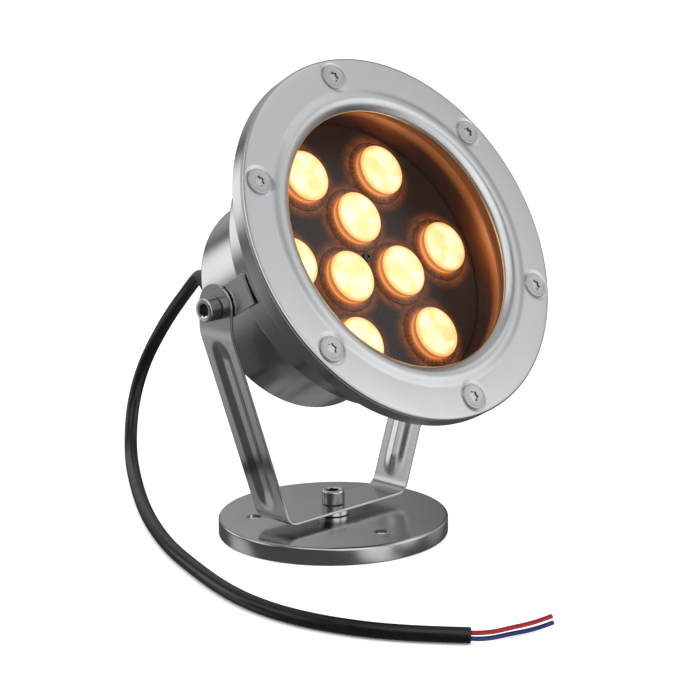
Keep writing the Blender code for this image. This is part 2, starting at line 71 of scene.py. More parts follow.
RING_R = 81.0 * MM
SCREW_CIRCLE = 73.0 * MM
SCREW_ANGLES = [math.radians(93.3 + 60 * k) for k in range(6)]
DRUM_R = 63.2 * MM
CAN_R = 48.8 * MM
BOARD_FRONT = 25.5 * MM
LENS_FRONT = 20.4 * MM
LED_SPOTS = [(43.3 * MM, 56.4 + 60 * k) for k in range(6)] + [(17.1 * MM, 86.2 + 120 * k) for k in range(3)]


# --- Camera

LENS_MM = 119.456
SENSOR_MM = 36.0
EYE = Vector((-0.68215, -0.68955, 0.30714))
LOOK = Vector((0.68392633, 0.69412954, -0.22456394))
ROLL = math.radians(-0.59)


def camera():
    """A long lens, a little above the object and to its left."""
    data = bpy.data.cameras.new("camera")
    data.lens = LENS_MM
    data.sensor_width = SENSOR_MM
    data.clip_start = 0.05
    data.clip_end = 50
    made = bpy.data.objects.new("camera", data)
    bpy.context.scene.collection.objects.link(made)
    turn = LOOK.to_track_quat("-Z", "Y").to_matrix().to_4x4() @ Matrix.Rotation(ROLL, 4, "Z")
    made.matrix_world = Matrix.Translation(EYE) @ turn
    bpy.context.scene.camera = made


# --- Materials

def node(tree, kind, inputs=(), **settings):
    """A shader node with its settings, and its inputs given as values or as sockets to link."""
    made = tree.nodes.new("ShaderNode" + kind)
    for key, value in settings.items():
        setattr(made, key, value)
    for key, value in dict(inputs).items():
        if isinstance(value, bpy.types.NodeSocket):
            tree.links.new(value, made.inputs[key])
        else:
            made.inputs[key].default_value = value
    return made


def math_node(tree, operation, a, b=0.0, c=0.0):
    """A sum on up to three numbers."""
    return node(tree, "Math", {0: a, 1: b, 2: c}, operation=operation).outputs[0]


def feed(shader, name, value):
    """Links a value to one of the shader's inputs."""
    shader.id_data.links.new(value, shader.inputs[name])


def bumped(tree, shader, height, strength, distance):
    """Fine relief from a pattern; distance is its depth at full strength."""
    bump = node(tree, "Bump", {"Strength": strength, "Distance": distance, "Height": height})
    feed(shader, "Normal", bump.outputs[0])


def spread(tree, value, low, high, to_low, to_high, kind="LINEAR"):
    """value from low..high mapped onto to_low..to_high."""
    inputs = {"Value": value, "From Min": low, "From Max": high, "To Min": to_low, "To Max": to_high}
    return node(tree, "MapRange", inputs, interpolation_type=kind).outputs[0]


def mixed(tree, factor, a, b):
    """Two colours mixed by a factor."""
    made = tree.nodes.new("ShaderNodeMix")
    made.data_type = "RGBA"
    for key, value in ((0, factor), (6, a), (7, b)):  # its colour sockets
        if isinstance(value, bpy.types.NodeSocket):
            tree.links.new(value, made.inputs[key])
        else:
            made.inputs[key].default_value = value if key == 0 else (*value, 1.0)
    return made.outputs[2]


def ramp(tree, value, stops):
    """A colour ramp with (place, colour) stops."""
    made = node(tree, "ValToRGB", {0: value})
    elements = made.color_ramp.elements
    while len(elements) < len(stops):
        elements.new(0.5)
    for element, (place, colour) in zip(elements, stops):
        element.position = place
        element.color = (*colour, 1.0)
    return made.outputs[0]


def new_material(name, **sockets):
    """A Principled material; sockets set what is the same all over."""
    made = bpy.data.materials.new(name)
    made.use_nodes = True
    tree = made.node_tree
    shader = tree.nodes["Principled BSDF"]
    for key, value in sockets.items():
        shader.inputs[key.replace("_", " ")].default_value = value
    return made, tree, shader


def object_spot(tree):
    return node(tree, "TexCoord").outputs["Object"]


def noise(tree, vector, scale, detail=2.0, roughness=0.5, distortion=0.0):
    inputs = {"Vector": vector, "Scale": scale, "Detail": detail, "Roughness": roughness, "Distortion": distortion}
    return node(tree, "TexNoise", inputs).outputs[0]


def own_radius(tree, spot):
    """The distance from the piece's own Z axis, and the spot's three coordinates."""
    parts = node(tree, "SeparateXYZ", {0: spot}).outputs
    flat = node(tree, "CombineXYZ", {0: parts[0], 1: parts[1]}).outputs[0]
    return node(tree, "VectorMath", {0: flat}, operation="LENGTH").outputs["Value"], parts


def round_grain(tree, spot):
    """Coordinates in which turned scratches run round the piece's own Z axis."""
    radius, parts = own_radius(tree, spot)
    angle = math_node(tree, "ARCTAN2", parts[1], parts[0])
    around = math_node(tree, "MULTIPLY", angle, 4 * MM)
    return node(tree, "CombineXYZ", {0: radius, 1: around, 2: parts[2]}).outputs[0]


def stretched(tree, spot, scale):
    return node(tree, "Mapping", {"Vector": spot, "Scale": scale}).outputs[0]


def steel(name, tone=0.62, rough=0.3, grain="round", depth=0.25, patches=0.12, fine=2600.0):
    """Stainless sheet: fine scratches along the grain and cloudy patches, mostly in its gloss and relief."""
    made, tree, shader = new_material(name, Metallic=1.0)
    spot = object_spot(tree)
    along = {
        "round": lambda: round_grain(tree, spot),
        "x": lambda: stretched(tree, spot, (0.02, 1, 1)),
        "y": lambda: stretched(tree, spot, (1, 0.02, 1)),
        "z": lambda: stretched(tree, spot, (1, 1, 0.02)),
        "none": lambda: spot,
    }[grain]()
    scratches = noise(tree, along, fine, 3.0, 0.6)
    clouds = noise(tree, spot, 45.0, 3.0, 0.55, 0.3)
    light = (tone * 1.03, tone * 1.05, tone * 1.07)
    dark = (tone * 0.86, tone * 0.855, tone * 0.86)
    # the shade is nearly always past the range below, so the dark tone shows only in the darkest flecks
    fleck = math_node(tree, "MULTIPLY_ADD", scratches, 0.6, 0.5)
    shade = math_node(tree, "MULTIPLY_ADD", clouds, 0.5, fleck)
    feed(shader, "Base Color", mixed(tree, spread(tree, shade, 0.35, 0.75, 0, 1), dark, light))
    worn = math_node(tree, "MULTIPLY_ADD", clouds, patches, rough - patches / 2)
    rubbed = math_node(tree, "MULTIPLY_ADD", scratches, 0.14, worn)
    feed(shader, "Roughness", math_node(tree, "SUBTRACT", rubbed, 0.07))
    bumped(tree, shader, scratches, depth, 0.04 * MM)
    return made


def rubber(name, colour=(0.012, 0.012, 0.013), rough=0.38):
    """Cable sheath or gasket: black, with a fine moulded tooth and a few dusty scuffs."""
    made, tree, shader = new_material(name, Metallic=0.0, Specular_IOR_Level=0.5)
    spot = object_spot(tree)
    tooth = noise(tree, spot, 2200.0, 2.0)
    scuffs = noise(tree, spot, 160.0, 4.0, 0.6)
    dusty = tuple(c * 2.0 + 0.004 for c in colour)
    amount = spread(tree, scuffs, 0.55, 0.8, 0, 0.6)
    feed(shader, "Base Color", mixed(tree, amount, colour, dusty))
    feed(shader, "Roughness", spread(tree, scuffs, 0.3, 0.8, rough - 0.06, rough + 0.12))
    bumped(tree, shader, tooth, 0.15, 0.03 * MM)
    return made


def insulation(name, light, dark):
    """A core's coloured insulation, a little translucent, with faint handling marks."""
    made, tree, shader = new_material(name, Metallic=0.0, Roughness=0.35)
    marks = noise(tree, object_spot(tree), 700.0, 3.0)
    feed(shader, "Base Color", mixed(tree, spread(tree, marks, 0.4, 0.65, 0, 1), light, dark))
    bumped(tree, shader, marks, 0.1, 0.03 * MM)
    return made


def clear_pane(name):
    """The window's glass: see-through, with a faint reflection that grows at a slant."""
    made = bpy.data.materials.new(name)
    made.use_nodes = True
    tree = made.node_tree
    tree.nodes.remove(tree.nodes["Principled BSDF"])
    out = tree.nodes["Material Output"]
    smears = noise(tree, object_spot(tree), 35.0, 3.0, 0.6, 0.5)
    gloss = node(tree, "BsdfGlossy", {"Roughness": spread(tree, smears, 0.4, 0.7, 0.02, 0.07)})
    clear = node(tree, "BsdfTransparent", {"Color": (0.97, 0.985, 0.98, 1)})
    slant = node(tree, "Fresnel", {"IOR": 1.45}).outputs[0]
    front = math_node(tree, "SUBTRACT", 1.0, node(tree, "NewGeometry").outputs["Backfacing"])
    share = math_node(tree, "MULTIPLY", math_node(tree, "MULTIPLY", slant, front), 0.13)
    both = node(tree, "MixShader", {0: share, 1: clear.outputs[0], 2: gloss.outputs[0]})
    tree.links.new(both.outputs[0], out.inputs["Surface"])
    return made


def glowing_lens(name):
    """A lit lens: cream and yellow patches on its face, a bright rim, and an amber wall."""
    made, tree, shader = new_material(name, Metallic=0.0, Roughness=0.12, Emission_Strength=1.0)
    spot = object_spot(tree)
    radius, parts = own_radius(tree, spot)
    patches = noise(tree, spot, 120.0, 1.0, 0.4, 0.6)
    pale = spread(tree, patches, 0.38, 0.62, 0, 1, "SMOOTHSTEP")
    face = mixed(tree, pale, (0.98, 0.60, 0.25), (1.0, 0.90, 0.52))
    rim = spread(tree, radius, 8.6 * MM, 11.2 * MM, 0, 1, "SMOOTHSTEP")
    lit = mixed(tree, rim, face, (0.95, 0.44, 0.13))
    side = spread(tree, parts[2], -1.1 * MM, -0.4 * MM, 1, 0, "SMOOTHSTEP")
    low = spread(tree, parts[2], -4.1 * MM, -0.8 * MM, 0, 1, "SMOOTHSTEP")
    wall = mixed(tree, low, (0.80, 0.30, 0.09), (0.34, 0.10, 0.028))
    glow = mixed(tree, side, lit, wall)
    feed(shader, "Emission Color", glow)
    feed(shader, "Base Color", mixed(tree, 0.5, glow, (0.5, 0.35, 0.2)))
    return made


def lens_foot_look(name):
    """The lens's clear foot: light from the lens runs out through it in fine rays and fades."""
    made, tree, shader = new_material(name, Metallic=0.0, Roughness=0.15, Emission_Strength=1.0)
    spot = object_spot(tree)
    radius, parts = own_radius(tree, spot)
    angle = math_node(tree, "ARCTAN2", parts[1], parts[0])
    turn = node(tree, "CombineXYZ", {0: math_node(tree, "COSINE", angle), 1: math_node(tree, "SINE", angle)})
    rays = noise(tree, turn.outputs[0], 26.0, 2.0, 0.7)
    reach = spread(tree, rays, 0.38, 0.66, 0.45, 1.3)
    out = math_node(tree, "SUBTRACT", radius, 11.0 * MM)
    fade = math_node(tree, "DIVIDE", out, math_node(tree, "MULTIPLY", reach, 3.6 * MM))
    glow = ramp(tree, fade, [(0.0, (0.50, 0.14, 0.032)), (0.5, (0.17, 0.045, 0.014)), (1.0, (0.05, 0.018, 0.010))])
    feed(shader, "Emission Color", glow)
    feed(shader, "Base Color", mixed(tree, 0.8, glow, (0.02, 0.014, 0.012)))
    return made


def board_look(name):
    """The board's dark solder resist, warm near each lens where its light falls."""
    made, tree, shader = new_material(name, Metallic=0.0, Roughness=0.35, Emission_Strength=1.0)
    spot = object_spot(tree)
    nearest = None
    for radius, degrees in LED_SPOTS:
        angle = math.radians(degrees)
        centre = (radius * math.cos(angle), radius * math.sin(angle), -BOARD_FRONT)
        away = node(tree, "VectorMath", {0: spot, 1: centre}, operation="DISTANCE").outputs["Value"]
        nearest = away if nearest is None else math_node(tree, "MINIMUM", nearest, away)
    weave = noise(tree, spot, 900.0, 3.0)
    cloud = noise(tree, spot, 28.0, 2.0)
    resist = mixed(tree, cloud, (0.006, 0.004, 0.0035), (0.018, 0.011, 0.009))
    streaks = noise(tree, spot, 420.0, 1.0)
    glow = spread(tree, nearest, 12.5 * MM, 19.5 * MM, 1, 0, "SMOOTHSTEP")
    rayed = math_node(tree, "MULTIPLY", glow, spread(tree, streaks, 0.35, 0.65, 0.6, 1.25))
    warm = mixed(tree, rayed, (0.012, 0.005, 0.004), (0.24, 0.062, 0.016))
    feed(shader, "Base Color", resist)
    feed(shader, "Emission Color", warm)
    bumped(tree, shader, weave, 0.08, 0.03 * MM)
    return made


def lit_wall(name):
    """The steel wall inside the window, warm from the lenses."""
    made, tree, shader = new_material(name, Metallic=1.0, Emission_Strength=1.0)
    spot = object_spot(tree)
    lines = noise(tree, round_grain(tree, spot), 2200.0, 3.0)
    parts = node(tree, "SeparateXYZ", {0: spot}).outputs
    feed(shader, "Base Color", mixed(tree, lines, (0.30, 0.17, 0.11), (0.52, 0.32, 0.22)))
    feed(shader, "Roughness", spread(tree, lines, 0.2, 0.8, 0.28, 0.42))
    deep = spread(tree, parts[2], -17 * MM, -12.5 * MM, 0, 1, "SMOOTHSTEP")
    feed(shader, "Emission Color", mixed(tree, deep, (0.006, 0.003, 0.002), (0.22, 0.066, 0.020)))
    return made


def lit_seal(name):
    """A black seal pressed on the glass, warm from the lenses where it shows inside the window."""
    made, tree, shader = new_material(name, Metallic=0.0, Roughness=0.5, Emission_Strength=1.0)
    cloud = noise(tree, object_spot(tree), 120.0, 3.0)
    feed(shader, "Base Color", mixed(tree, cloud, (0.010, 0.010, 0.010), (0.022, 0.020, 0.020)))
    feed(shader, "Emission Color", mixed(tree, cloud, (0.12, 0.038, 0.014), (0.20, 0.060, 0.020)))
    return made


def painted(name, light, dark, rough, scale):
    """A plain moulded or coated finish with slight mottling, for pieces inside the housing."""
    made, tree, shader = new_material(name, Metallic=0.0)
    mottle = noise(tree, object_spot(tree), scale, 3.0)
    feed(shader, "Base Color", mixed(tree, mottle, light, dark))
    feed(shader, "Roughness", spread(tree, mottle, 0.3, 0.7, rough - 0.05, rough + 0.08))
    bumped(tree, shader, mottle, 0.1, 0.05 * MM)
    return made


# --- Meshes

def rounded(corners, steps=4, closed=True):
    """(across, along, radius) corners with an arc at each one that has a radius."""
    count = len(corners)
    made = []
    for i, (x, z, radius) in enumerate(corners):
        here = Vector((x, z))
        if not radius or (not closed and i in (0, count - 1)):
            made.append(here)
            continue
        before = Vector(corners[i - 1][:2]) - here
        after = Vector(corners[(i + 1) % count][:2]) - here
        half = before.angle(after) / 2
        reach = min(radius / math.tan(half), before.length * 0.49, after.length * 0.49)
        radius = reach * math.tan(half)
        middle = here + (before.normalized() + after.normalized()).normalized() * radius / math.sin(half)
        start = (here + before.normalized() * reach - middle).normalized()
        end = (here + after.normalized() * reach - middle).normalized()
        for k in range(steps + 1):
            made.append(middle + start.slerp(end, k / steps) * radius)
    return made


def lathe(name, profile, steps=144, closed=True, push=None):
    """A mesh turned round Z from (radius, height) points. push(radius, angle, row) lowers a point."""
    bm = bmesh.new()
    rows = []
    for row, (radius, height) in enumerate(profile):
        if radius < 1e-7:
            rows.append([bm.verts.new((0, 0, height))])
            continue
        ring = []
        for k in range(steps):
            angle = 2 * math.pi * k / steps
            drop = push(radius, angle, row) if push else 0.0
            ring.append(bm.verts.new((radius * math.cos(angle), radius * math.sin(angle), height - drop)))
        rows.append(ring)
    pairs = list(zip(rows, rows[1:]))
    if closed:
        pairs.append((rows[-1], rows[0]))
    for a, b in pairs:
        if len(a) == 1 and len(b) == 1:
            continue
        for k in range(steps):
            n = (k + 1) % steps
            if len(a) == 1:
                bm.faces.new((a[0], b[k], b[n]))
            elif len(b) == 1:
                bm.faces.new((a[k], b[0], a[n]))
            else:
                bm.faces.new((a[k], b[k], b[n], a[n]))
    bmesh.ops.recalc_face_normals(bm, faces=bm.faces)
    return to_mesh(name, bm)


def to_mesh(name, bm):
    mesh = bpy.data.meshes.new(name)
    bm.to_mesh(mesh)
    bm.free()
    return mesh


def prism(name, outline, low, high):
    """A closed solid of an (x, y) outline between two heights."""
    bm = bmesh.new()
    face = bm.faces.new([bm.verts.new((x, y, low)) for x, y in outline])
    up = bmesh.ops.extrude_face_region(bm, geom=[face])["geom"]
    bmesh.ops.translate(bm, vec=(0, 0, high - low), verts=[v for v in up if isinstance(v, bmesh.types.BMVert)])
    bmesh.ops.recalc_face_normals(bm, faces=bm.faces)
    return to_mesh(name, bm)


def polygon(radius, sides, phase=0.0):
    turns = [2 * math.pi * k / sides + phase for k in range(sides)]
    return [(radius * math.cos(a), radius * math.sin(a)) for a in turns]


def lobes(radius, depth, count=6, steps=48):
    """The outline of a lobed driver recess."""
    made = []
    for k in range(steps):
        angle = 2 * math.pi * k / steps
        r = radius - depth * (0.5 + 0.5 * math.cos(count * angle))
        made.append((r * math.cos(angle), r * math.sin(angle)))
    return made


def scene_object(name, mesh, matrix):
    made = bpy.data.objects.new(name, mesh)
    bpy.context.scene.collection.objects.link(made)
    made.matrix_world = matrix
    return made


def scaled(corners, steps=4, closed=True):
    """rounded() of corners given in millimetres."""
    return rounded([(r * MM, z * MM, c * MM) for r, z, c in corners], steps, closed)


def spun(name, corners, matrix, arc_steps, sides, closed=True):
    """A turned object, from (radius, height, edge radius) corners in millimetres."""
    return scene_object(name, lathe(name, scaled(corners, arc_steps, closed), sides, closed), matrix)


def applied(obj):
    """Puts what the modifiers make into the object's own mesh."""
    bpy.context.view_layer.update()
    mesh = bpy.data.meshes.new_from_object(obj.evaluated_get(bpy.context.evaluated_depsgraph_get()))
    obj.modifiers.clear()
    obj.data = mesh
    return obj


def cut(obj, *tools):
    """Cuts (mesh, matrix) tools out of an object with exact Booleans, and leaves nothing behind."""
    cutters = [scene_object(obj.name + "_tool", mesh, obj.matrix_world @ matrix) for mesh, matrix in tools]
    for cutter in cutters:
        step = obj.modifiers.new("cut", "BOOLEAN")
        step.operation = "DIFFERENCE"
        step.solver = "EXACT"
        step.object = cutter
    applied(obj)
    for cutter in cutters:
        bpy.data.objects.remove(cutter, do_unlink=True)
    return obj


def softened(obj, width=0.25 * MM, segments=2, degrees=32):
    """Rounds the sharp edges a little, so that they catch the light."""
    bevel = obj.modifiers.new("edges", "BEVEL")
    bevel.width = width
    bevel.segments = segments
    bevel.limit_method = "ANGLE"
    bevel.angle_limit = math.radians(degrees)
    bevel.use_clamp_overlap = True
    bevel.harden_normals = True
    obj.data.shade_smooth()
    obj.data.set_sharp_from_angle(angle=math.radians(degrees + 15))
    return obj


def edged(obj, degrees=32):
    """Smooth shading with its edges kept sharp."""
    obj.data.shade_smooth()
    obj.data.set_sharp_from_angle(angle=math.radians(degrees))
    return obj


def shaded(obj):
    """Smooth shading that keeps flat faces flat."""
    obj.data.shade_smooth()
    weighted = obj.modifiers.new("flats", "WEIGHTED_NORMAL")
    weighted.keep_sharp = True
    return obj


def piece(obj, body, slot, looks, *nodes):
    """Gives a piece its material and its body, and hides the CAD nodes it stands for; its slot is not used."""
    obj.data.materials.clear()
    for look in looks if isinstance(looks, list) else [looks]:
        obj.data.materials.append(look)
    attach(obj, body)
    if nodes:
        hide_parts(*nodes)
    return obj


# --- Cable

CABLE_R = 3.15 * MM
CABLE_ROUTE = [
    (0.0, 64.6, 104.6), (0.0, 75.7, 98.2), (1.5, 87.9, 93.9), (6.2, 100.0, 94.5), (12.5, 111.1, 96.6),
    (19.4, 122.1, 96.7), (25.2, 132.8, 92.3), (29.0, 143.1, 85.3), (31.6, 153.1, 77.4), (33.3, 162.6, 68.7),
    (34.2, 171.3, 59.1), (33.6, 178.6, 48.4), (31.0, 182.9, 36.4), (26.7, 183.1, 24.2), (21.1, 179.1, 13.2),
    (14.1, 171.2, 6.0), (6.2, 161.2, 3.6), (-1.7, 150.9, 3.3), (-17.1, 130.0, 3.3), (-31.5, 109.6, 3.3),
    (-51.1, 79.4, 3.3), (-63.0, 58.5, 3.3), (-73.6, 37.0, 3.3), (-82.4, 14.7, 3.3), (-90.2, -8.0, 3.3),
    (-95.9, -31.3, 3.3), (-97.2, -55.2, 3.3), (-92.8, -78.8, 3.3), (-83.3, -100.8, 3.3), (-64.6, -126.6, 3.3),
]
LEAD_END = 150 * MM                # how far back the stretch between head and yoke reaches
LEAD_R = 0.98 * CABLE_R            # a little slimmer, so that its end goes into the sheath's
CORE_R = 0.9 * MM
RED_ROUTE = [
    (-65.9, -125.0, 4.2), (-64.1, -127.4, 4.3), (-58.2, -130.9, 4.0),
    (-49.2, -132.9, 3.8), (-41.1, -135.7, 4.2), (-31.9, -138.9, 5.6),
]
BLUE_ROUTE = [
    (-66.2, -125.4, 2.3), (-64.5, -127.9, 2.2), (-58.6, -130.9, 1.7),
    (-49.2, -132.8, 1.3), (-40.6, -135.3, 1.3), (-29.3, -137.3, 1.9),
]


def smooth_route(route, spacing):
    """Points a spacing apart on the natural cubic spline through the route's own points, in metres."""
    points = np.array(route) * MM
    knots = np.concatenate([[0.0], np.cumsum(np.linalg.norm(np.diff(points, axis=0), axis=1))])
    gaps = np.diff(knots)
    size = len(points)
    matrix = np.eye(size)
    right = np.zeros((size, 3))
    for i in range(1, size - 1):
        matrix[i, i - 1:i + 2] = gaps[i - 1], 2 * (gaps[i - 1] + gaps[i]), gaps[i]
        slopes = np.diff(points[i - 1:i + 2], axis=0) / gaps[i - 1:i + 1, None]
        right[i] = 6 * (slopes[1] - slopes[0])
    bend = np.linalg.solve(matrix, right)
    made = []
    for s in np.linspace(0, knots[-1], max(2, round(knots[-1] / spacing)) + 1):
        i = min(int(np.searchsorted(knots, s, side="right")) - 1, size - 2)
        h, a, b = gaps[i], (knots[i + 1] - s) / gaps[i], (s - knots[i]) / gaps[i]
        cubic = ((a**3 - a) * bend[i] + (b**3 - b) * bend[i + 1]) * h * h / 6
        made.append(a * points[i] + b * points[i + 1] + cubic)
    return made


def tube_mesh(name, points, radius, sides):
    """A round tube along points, carried without twist, with slightly rounded flat ends."""
    points = [Vector(p) for p in points]
    runs = [(b - a).normalized() for a, b in zip(points, points[1:])]
    tangents = [runs[0]] + [(a + b).normalized() for a, b in zip(runs, runs[1:])] + [runs[-1]]
    side = tangents[0].orthogonal().normalized()
    edge = 0.12 * radius
    stations = [(points[0], tangents[0], radius - edge)]
    stations += [(points[0] + tangents[0] * edge, tangents[0], radius)]
    stations += [(p, t, radius) for p, t in zip(points[1:-1], tangents[1:-1])]
    stations += [(points[-1] - tangents[-1] * edge, tangents[-1], radius)]
    stations += [(points[-1], tangents[-1], radius - edge)]
    bm = bmesh.new()
    rings = []
    for centre, along, r in stations:
        side = (side - along * side.dot(along)).normalized()
        other = along.cross(side)
        turns = [2 * math.pi * k / sides for k in range(sides)]
        rings.append([bm.verts.new(centre + (side * math.cos(a) + other * math.sin(a)) * r) for a in turns])
    for a, b in zip(rings, rings[1:]):
        for k in range(sides):
            n = (k + 1) % sides
            bm.faces.new((a[k], a[n], b[n], b[k]))
    bm.faces.new(list(reversed(rings[0])))
    bm.faces.new(rings[-1])
    bmesh.ops.recalc_face_normals(bm, faces=bm.faces)
    mesh = to_mesh(name, bm)
    mesh.shade_smooth()
    mesh.set_sharp_from_angle(angle=math.radians(40))
    return mesh


def cables():
    """The cable, whose first stretch is a fixed curve between head and yoke, and the two cores that come out of its
    end.
    """
    route = smooth_route(CABLE_ROUTE, 0.6 * CABLE_R)
    meets = next(i for i, point in enumerate(route) if point[1] > LEAD_END)
    look = rubber("sheath_rubber", (0.005, 0.005, 0.0055), 0.27)
    for name, points, radius, far_end in (
        ("cable_lead", route[:meets + 2], LEAD_R, "object"),
        ("cable_sheath", route[meets:], CABLE_R, "bare"),
    ):
        cable = scene_object(name, tube_mesh(name, points, radius, 20), Matrix.Identity(4))
        cable.data.materials.append(look)
        if name == "cable_lead":
            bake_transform(cable)
        else:
            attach(cable, "yoke")
        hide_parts("supply_cable")
    looks = {
        "red_core": insulation("red_insulation", (0.46, 0.009, 0.016), (0.32, 0.006, 0.010)),
        "blue_core": insulation("blue_insulation", (0.012, 0.034, 0.21), (0.008, 0.022, 0.14)),
    }
    for name, own in (("red_core", RED_ROUTE), ("blue_core", BLUE_ROUTE)):
        line = smooth_route(own, CORE_R)
        wire = scene_object(name + "_wire", tube_mesh(name, line, CORE_R, 14), Matrix.Identity(4))
        piece(wire, "yoke", name, looks[name], name)


# --- Base

BASE_R = 50.5 * MM
BASE_H = 7.7 * MM
BASE_SHEET = 1.5 * MM
FIXING_HOLE_R = 3.25 * MM
FIXING_CIRCLE = 35.0 * MM
FIXING_ANGLES = (22.0, 142.0, 262.0)
YOKE_FLOOR = 11.2 * MM
YOKE_SHEET = 1.2 * MM
YOKE_W = 20.2 * MM
YOKE_FOOT_X = 35.4 * MM
YOKE_ARM_X = 66.4 * MM
YOKE_BEND_Z = 99.3 * MM
BOLT_HOLE_R = 3.3 * MM             # for the M6 bolts of both joints
M6_NUT_R, M6_NUT_BORE = 5.77 * MM, 3.05 * MM
M5_NUT_R, M5_NUT_BORE = 4.62 * MM, 2.55 * MM


def hole(radius, x, y, z):
    """A drill along Z, through the sheet at a point."""
    return prism("hole", polygon(radius, 48), -3 * MM, 3 * MM), Matrix.Translation((x, y, z))


def cross_hole(x, z=0.0):
    """A bolt hole's drill along X, through an arm or a bracket."""
    drill = prism("hole", polygon(BOLT_HOLE_R, 48), -4 * MM, 4 * MM)
    return drill, Matrix.Translation((x, 0, z)) @ Matrix.Rotation(math.pi / 2, 4, "Y")


def base_disc(look):
    floor = BASE_H - BASE_SHEET
    corners = [
        (0, BASE_H, 0), (BASE_R, BASE_H, 1.3 * MM), (BASE_R, 0, 0.4 * MM), (BASE_R - BASE_SHEET, 0, 0.4 * MM),
        (BASE_R - BASE_SHEET, floor, 0.5 * MM), (0, floor, 0),
    ]
    disc = scene_object("base_disc", lathe("base_disc", rounded(corners, 5, False), 160, False), BASE)
    holes = [hole(BOLT_HOLE_R, 0, 0, BASE_H)]
    for degrees in FIXING_ANGLES:
        angle = math.radians(degrees)
        x, y = FIXING_CIRCLE * math.cos(angle), FIXING_CIRCLE * math.sin(angle)
        holes.append(hole(FIXING_HOLE_R, x, y, BASE_H))
    cut(disc, *holes)
    softened(disc, 0.3 * MM, 3)
    piece(disc, "base", "stainless", look, "base_plate")


def cap_screw(name, matrix, length, body, looks, *nodes):
    """An M6 socket head screw: a rounded head standing on z = 0, with a hex socket, and a plain shank."""
    head_r, head_h, shank = 5.0 * MM, 6.0 * MM, 3.0 * MM
    top_edge, socket_r, socket_depth, lead_in = 0.75 * MM, 2.9 * MM, 3.6 * MM, 0.55 * MM
    corners = [
        (0, head_h, 0), (head_r, head_h, top_edge), (head_r, 0, 0.25 * MM), (shank, 0, 0),
        (shank, -length, 0.5 * MM), (0, -length, 0),
    ]
    screw = scene_object(name, lathe(name, rounded(corners, 6, False), 64, False), matrix)
    socket = prism("socket", polygon(socket_r, 6), -socket_depth, MM)
    cone = [(0, MM), (3.5 * MM, MM), (3.3 * MM, 0), (2.4 * MM, -lead_in), (0, -lead_in)]
    lead = lathe("lead", cone, 48, False)
    top = Matrix.Translation((0, 0, head_h))
    cut(screw, (socket, top), (lead, top))
    edged(screw)
    piece(screw, body, "bright_screws", [looks["chrome"], looks["shaded_barrel"]], *nodes)
    for face in screw.data.polygons:
        # painted shade: the barrel below the rounded edge, and the socket below its lead-in, are the darker look
        height, side = face.center.z / MM, math.hypot(face.center.x, face.center.y) / MM
        shaded_barrel = height < 5.1 and abs(face.normal.z) < 0.5
        sunk = side < 2.7 and height < 5.2
        face.material_index = 1 if shaded_barrel or sunk else 0
    return screw


def hex_nut(name, across, low, high, hole_r, matrix, body, look, *nodes):
    """A hexagon nut with its corners chamfered on both faces; across is its radius at the corners."""
    made = scene_object(name, prism(name, polygon(across, 6), low, high), matrix)
    dome, rim, outside = across * 1.02, across * 0.84, across * 1.3
    middle, half = (low + high) / 2, (high - low) / 2
    corner = half * 0.72
    shave = lathe("shave", [
        (outside, middle + half + MM), (rim, middle + half + MM), (rim, middle + half), (dome, middle + corner),
        (dome, middle - corner), (rim, middle - half), (rim, middle - half - MM), (outside, middle - half - MM),
    ], 48)
    bore = prism("bore", polygon(hole_r, 32), low - MM, high + MM)
    cut(made, (shave, Matrix.Identity(4)), (bore, Matrix.Identity(4)))
    edged(made)
    return piece(made, body, "bright_screws", look, *nodes)


def swivel_hardware(looks):
    """The spacer under the yoke, the screw through both, and the nut under the base's sheet."""
    strip_top = YOKE_FLOOR + YOKE_SHEET
    corners = [(3.3, 10.9, 0.2), (7.0, 10.9, 0.2), (7.0, 8.0, 0.2), (3.3, 8.0, 0.2)]
    spacer = spun("swivel_spacer_ring", corners, BASE, 2, 64)
    piece(shaded(spacer), "base", "stainless", looks["bright"], "swivel_spacer")
    at = BASE @ Matrix.Translation((0, 0, strip_top + 0.3 * MM))
    length = strip_top - 0.7 * MM  # which leaves its tip 1 mm above the floor
    cap_screw("swivel_screw", at, length, "base", looks, "swivel_bolt")
    top = BASE_H - BASE_SHEET - 0.3 * MM
    hex_nut("swivel_lock_nut", M6_NUT_R, top - 4.7 * MM, top, M6_NUT_BORE, BASE, "base", looks["bright"],
            "swivel_nut")


# --- Yoke

GROOVE_HALF = 6.0 * MM
GROOVE_DEPTH = 1.05 * MM
BEND_STEPS = 8


def strip_line():
    """Half of the strip's outer line in (x, z), from its middle to the tip, with each bend's arc."""
    top = PIVOT.z + YOKE_W / 2
    corners = [(0, YOKE_FLOOR, 0), (YOKE_FOOT_X, YOKE_FLOOR, 6 * MM), (YOKE_ARM_X, YOKE_BEND_Z, 14 * MM),
               (YOKE_ARM_X, top, 0)]
    return rounded(corners, BEND_STEPS, False)


def resampled(line, spacing):
    """Points a spacing apart along a line, closer at its round tip, each with its direction and distance."""
    lengths = [0.0]
    for a, b in zip(line, line[1:]):
        lengths.append(lengths[-1] + (b - a).length)
    total = lengths[-1]
    stations = sorted({round(s, 7) for s in np.linspace(0, total, round(total / spacing) + 1)})
    tip = YOKE_W / 2
    fine = [total - tip * (1 - math.sin(math.radians(a))) for a in range(0, 90, 6)]
    stations = [s for s in stations if s < total - tip] + fine
    made = []
    for s in stations:
        i = min(max(int(np.searchsorted(lengths, s)) - 1, 0), len(line) - 2)
        run = line[i + 1] - line[i]
        share = (s - lengths[i]) / run.length
        along = tangent(line, i).lerp(tangent(line, i + 1), share).normalized()
        made.append((line[i] + run * share, along, s))
    return made, total, lengths


def tangent(line, i):
    before = line[max(i - 1, 0)]
    after = line[min(i + 1, len(line) - 1)]
    return (after - before).normalized()


